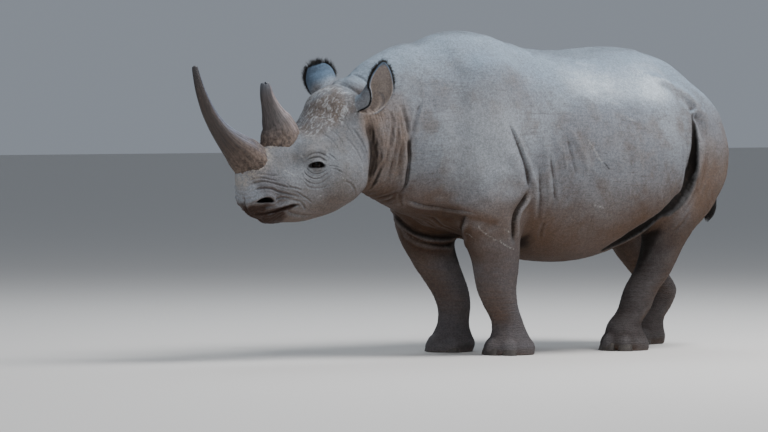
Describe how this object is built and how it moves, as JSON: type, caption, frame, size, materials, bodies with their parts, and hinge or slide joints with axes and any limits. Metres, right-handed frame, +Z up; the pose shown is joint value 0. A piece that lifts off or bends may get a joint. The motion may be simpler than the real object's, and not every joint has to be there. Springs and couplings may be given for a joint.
{
  "type": "black rhinoceros",
  "caption": "Black rhinoceros standing, head low and level, with long curved front horn, hooked upper lip and cupped ears: a still, life-size display model.",
  "frame": {"origin": "on the floor, under the middle of the animal's bounding box", "axes": "+Z up, the animal faces -Y, its left side is +X"},
  "size_m": [1.0684, 3.2166, 1.587],
  "materials": {
    "skin": "dry, dusty, wrinkled grey hide",
    "horn": "smooth dark tip over a fibrous brown base",
    "nail": "worn, dull, nearly black",
    "eye": "wet, glossy, very dark brown",
    "hair": "coarse, dull, nearly black"
  },
  "bodies": {
    "root": {"trunk": "skin", "neck": "skin", "head": "skin", "lower_jaw": "skin", "ear_left": "skin", "ear_right": "skin", "tail": "skin", "leg_front_left_upper": "skin", "leg_front_left_lower": "skin", "foot_front_left": "skin", "nail_front_left_inner": "nail", "nail_front_left_middle": "nail", "nail_front_left_outer": "nail", "leg_front_right_upper": "skin", "leg_front_right_lower": "skin", "foot_front_right": "skin", "nail_front_right_inner": "nail", "nail_front_right_middle": "nail", "nail_front_right_outer": "nail", "leg_back_left_upper": "skin", "leg_back_left_lower": "skin", "foot_back_left": "skin", "nail_back_left_inner": "nail", "nail_back_left_middle": "nail", "nail_back_left_outer": "nail", "leg_back_right_upper": "skin", "leg_back_right_lower": "skin", "foot_back_right": "skin", "nail_back_right_inner": "nail", "nail_back_right_middle": "nail", "nail_back_right_outer": "nail", "eye_left": "eye", "eye_right": "eye", "horn_front": "horn", "horn_rear": "horn", "tail_tuft": "hair"}
  },
  "joints": []
}
